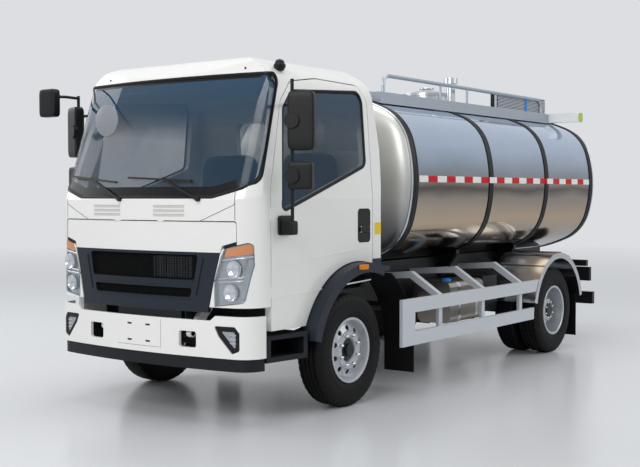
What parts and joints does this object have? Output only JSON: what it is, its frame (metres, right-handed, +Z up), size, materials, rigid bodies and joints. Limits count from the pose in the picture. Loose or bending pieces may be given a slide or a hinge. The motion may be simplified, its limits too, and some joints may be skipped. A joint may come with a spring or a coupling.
{
  "type": "tanker truck",
  "caption": "Cab-over light truck with a polished oval milk or water tank, tilting cab, opening doors, service flap, steered front wheels and twin rear wheels.",
  "frame": {"origin": "bottom centre of the overall box, on the road", "axes": "+X to the vehicle's left, -Y to its front, +Z up"},
  "size_m": [2.6564, 6.6007, 2.9],
  "materials": {
    "white_paint": "gloss",
    "navy_plastic": "moulded satin",
    "black_plastic": "moulded",
    "chassis_paint": "satin",
    "polished_steel": "polished",
    "galvanised": "silver grey paint",
    "silver_paint": "silver",
    "glass": "tinted",
    "lamp_glass": "clear lens",
    "tyre": "matt",
    "rubber": "matt",
    "cast_iron": "rough",
    "interior": "grained",
    "seat_cloth": "woven",
    "fuel_alloy": "satin"
  },
  "bodies": {
    "chassis": {"frame": "chassis_paint", "front_axle": "chassis_paint", "rear_axle": "chassis_paint", "leaf_springs": "chassis_paint", "engine": "cast_iron", "radiator": "fuel_alloy", "front_bumper": "white_paint", "skirt_and_steps": "navy_plastic", "rear_bars": "chassis_paint", "chassis_lamps": "lamp_glass", "mudflaps": "rubber", "rear_mudguards": "polished_steel", "side_guards": "silver_paint", "fuel_tank": "fuel_alloy", "frame_boxes": "chassis_paint", "exhaust": "chassis_paint", "tank": "polished_steel", "tank_bands": "rubber", "tank_saddles": "chassis_paint", "walkway": "galvanised", "sign_box": "white_paint", "tank_fittings": "polished_steel"},
    "cab": {"cab_shell": "white_paint", "cab_glass": "glass", "cab_lamps": "lamp_glass", "cab_arches": "navy_plastic", "dashboard": "interior", "seats": "seat_cloth", "wipers": "black_plastic"},
    "front_flap": {"front_panel": "white_paint", "grille": "navy_plastic"},
    "steering_wheel": {"steering_wheel": "interior"},
    "door_left": {"door_left": "white_paint", "door_glass_left": "glass", "mirror_left": "black_plastic"},
    "door_right": {"door_right": "white_paint", "door_glass_right": "glass", "mirror_right": "black_plastic"},
    "knuckle_left": {"knuckle_left": "cast_iron"},
    "knuckle_right": {"knuckle_right": "cast_iron"},
    "front_wheel_left": {"front_tyre_left": "tyre", "front_rim_left": "silver_paint"},
    "front_wheel_right": {"front_tyre_right": "tyre", "front_rim_right": "silver_paint"},
    "rear_wheels_left": {"rear_tyres_left": "tyre", "rear_rims_left": "silver_paint"},
    "rear_wheels_right": {"rear_tyres_right": "tyre", "rear_rims_right": "silver_paint"},
    "drive_shaft": {"drive_shaft": "chassis_paint"},
    "manhole_lid": {"manhole_lid": "polished_steel"}
  },
  "joints": [
    {"name": "cab_tilt", "type": "hinge", "parent": "chassis", "child": "cab", "pos_m": [0, -3.205, 0.66], "axis": [1, 0, 0], "range_deg": [0, 45]},
    {"name": "front_flap_lift", "type": "hinge", "parent": "cab", "child": "front_flap", "pos_m": [0, -3.281, 1.494], "axis": [-1, 0, 0], "range_deg": [0, 70]},
    {"name": "door_left_swing", "type": "hinge", "parent": "cab", "child": "door_left", "pos_m": [1.04, -2.972, 1.2], "axis": [0, 0, -1], "range_deg": [0, 72]},
    {"name": "door_right_swing", "type": "hinge", "parent": "cab", "child": "door_right", "pos_m": [-1.04, -2.972, 1.2], "axis": [0, 0, 1], "range_deg": [0, 72]},
    {"name": "steering_wheel_turn", "type": "hinge", "parent": "cab", "child": "steering_wheel", "pos_m": [0.47, -2.7547, 1.6], "axis": [0, 0.6157, 0.788], "range_deg": [-630, 630]},
    {"name": "steer_left", "type": "hinge", "parent": "chassis", "child": "knuckle_left", "pos_m": [0.88, -2.045, 0.45], "axis": [0, 0, 1], "range_deg": [-35, 35]},
    {"name": "steer_right", "type": "hinge", "parent": "chassis", "child": "knuckle_right", "pos_m": [-0.88, -2.045, 0.45], "axis": [0, 0, 1], "range_deg": [-35, 35]},
    {"name": "front_wheel_left_spin", "type": "hinge", "parent": "knuckle_left", "child": "front_wheel_left", "pos_m": [1.004, -2.045, 0.45], "axis": [1, 0, 0], "continuous": true},
    {"name": "front_wheel_right_spin", "type": "hinge", "parent": "knuckle_right", "child": "front_wheel_right", "pos_m": [-1.004, -2.045, 0.45], "axis": [1, 0, 0], "continuous": true},
    {"name": "rear_wheels_left_spin", "type": "hinge", "parent": "chassis", "child": "rear_wheels_left", "pos_m": [1.08, 1.655, 0.45], "axis": [1, 0, 0], "continuous": true},
    {"name": "rear_wheels_right_spin", "type": "hinge", "parent": "chassis", "child": "rear_wheels_right", "pos_m": [-1.08, 1.655, 0.45], "axis": [1, 0, 0], "continuous": true},
    {"name": "drive_shaft_spin", "type": "hinge", "parent": "chassis", "child": "drive_shaft", "pos_m": [0, -0.985, 0.66], "axis": [0, 0.9959, -0.0905], "continuous": true},
    {"name": "manhole_lid_lift", "type": "hinge", "parent": "chassis", "child": "manhole_lid", "pos_m": [0, 1.305, 2.761], "axis": [-1, 0, 0], "range_deg": [0, 100]}
  ],
  "couplings": [
    {"joint": "steer_right", "follows": "steer_left", "ratio": 1},
    {"joint": "steering_wheel_turn", "follows": "steer_left", "ratio": 18}
  ]
}
